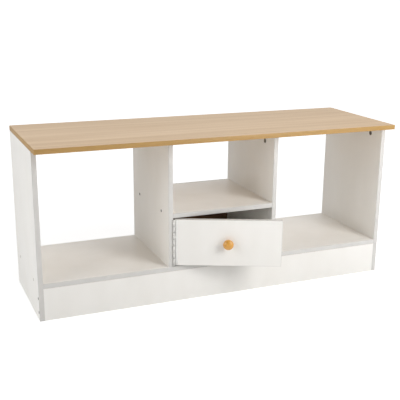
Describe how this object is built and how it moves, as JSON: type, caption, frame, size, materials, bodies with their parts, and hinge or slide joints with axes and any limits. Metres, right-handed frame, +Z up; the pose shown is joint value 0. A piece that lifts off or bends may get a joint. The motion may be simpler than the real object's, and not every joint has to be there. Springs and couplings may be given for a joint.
{
  "type": "tv stand",
  "caption": "Low open-bay TV stand with a beech-effect top on a white carcass, a middle shelf and a cupboard below it with one hinged door and a round knob.",
  "frame": {"origin": "on the floor, in the middle of the front plinth's underside", "axes": "+X to the right along the width, seen from the front; +Y from front to back; +Z up"},
  "size_m": [1.2, 0.4896, 0.535],
  "materials": {
    "beech_top": "beech-effect melamine, satin, fine straight grain",
    "beech_band": "beech-effect edge band, satin",
    "white_board": "white melamine on chipboard, satin",
    "white_band": "white edge band, satin",
    "hardboard": "thin bare brown hardboard",
    "beech_knob": "turned beech, clear lacquer",
    "white_metal": "white painted steel strip",
    "bright_steel": "bright zinc-plated steel",
    "bronze_steel": "bronze-plated steel",
    "dark_zinc": "dark die-cast zinc",
    "white_plastic": "moulded white plastic"
  },
  "bodies": {
    "carcass": {"base_panel": "white_board", "base_panel_band": "white_band", "catch_screw_left": "bright_steel", "catch_screw_right": "bright_steel", "cupboard_back": "hardboard", "front_plinth": "white_board", "hinge_leaf_fixed": "white_metal", "hinge_pin": "bright_steel", "left_base_screw_front": "bronze_steel", "left_base_screw_rear": "bronze_steel", "left_divider": "white_board", "left_divider_band": "white_band", "left_divider_cam_bolt_front": "bright_steel", "left_divider_cam_bolt_rear": "bright_steel", "left_divider_cam_front": "dark_zinc", "left_divider_cam_rear": "dark_zinc", "left_plinth_screw_lower": "bronze_steel", "left_plinth_screw_upper": "bronze_steel", "left_shelf_screw_front": "bronze_steel", "left_shelf_screw_rear": "bronze_steel", "left_side_cam_bolt_front": "bright_steel", "left_side_cam_bolt_rear": "bright_steel", "left_side_cam_front": "dark_zinc", "left_side_cam_rear": "dark_zinc", "left_side_panel": "white_board", "left_side_panel_band": "white_band", "magnetic_catch": "white_plastic", "middle_shelf": "white_board", "middle_shelf_band": "white_band", "right_base_screw_front": "bronze_steel", "right_base_screw_rear": "bronze_steel", "right_divider": "white_board", "right_divider_band": "white_band", "right_divider_cam_bolt_front": "bright_steel", "right_divider_cam_bolt_rear": "bright_steel", "right_divider_cam_front": "dark_zinc", "right_divider_cam_rear": "dark_zinc", "right_plinth_screw_lower": "bronze_steel", "right_plinth_screw_upper": "bronze_steel", "right_shelf_screw_front": "bronze_steel", "right_shelf_screw_rear": "bronze_steel", "right_side_cam_bolt_front": "bright_steel", "right_side_cam_bolt_rear": "bright_steel", "right_side_cam_front": "dark_zinc", "right_side_cam_rear": "dark_zinc", "right_side_panel": "white_board", "right_side_panel_band": "white_band", "top_front_band": "beech_band", "top_left_band": "beech_band", "top_panel": "beech_top", "top_right_band": "beech_band"},
    "door": {"door_panel": "white_board", "door_band": "white_band", "door_knob": "beech_knob", "knob_screw": "bright_steel", "hinge_leaf_door": "white_metal", "strike_plate": "bright_steel", "strike_screw": "bright_steel"}
  },
  "joints": [
    {"name": "door_hinge", "type": "hinge", "parent": "carcass", "child": "door", "pos_m": [-0.1717, -0.0103, 0.19825], "axis": [0, 0, -1], "range_deg": [-23.3, 146.7]}
  ]
}
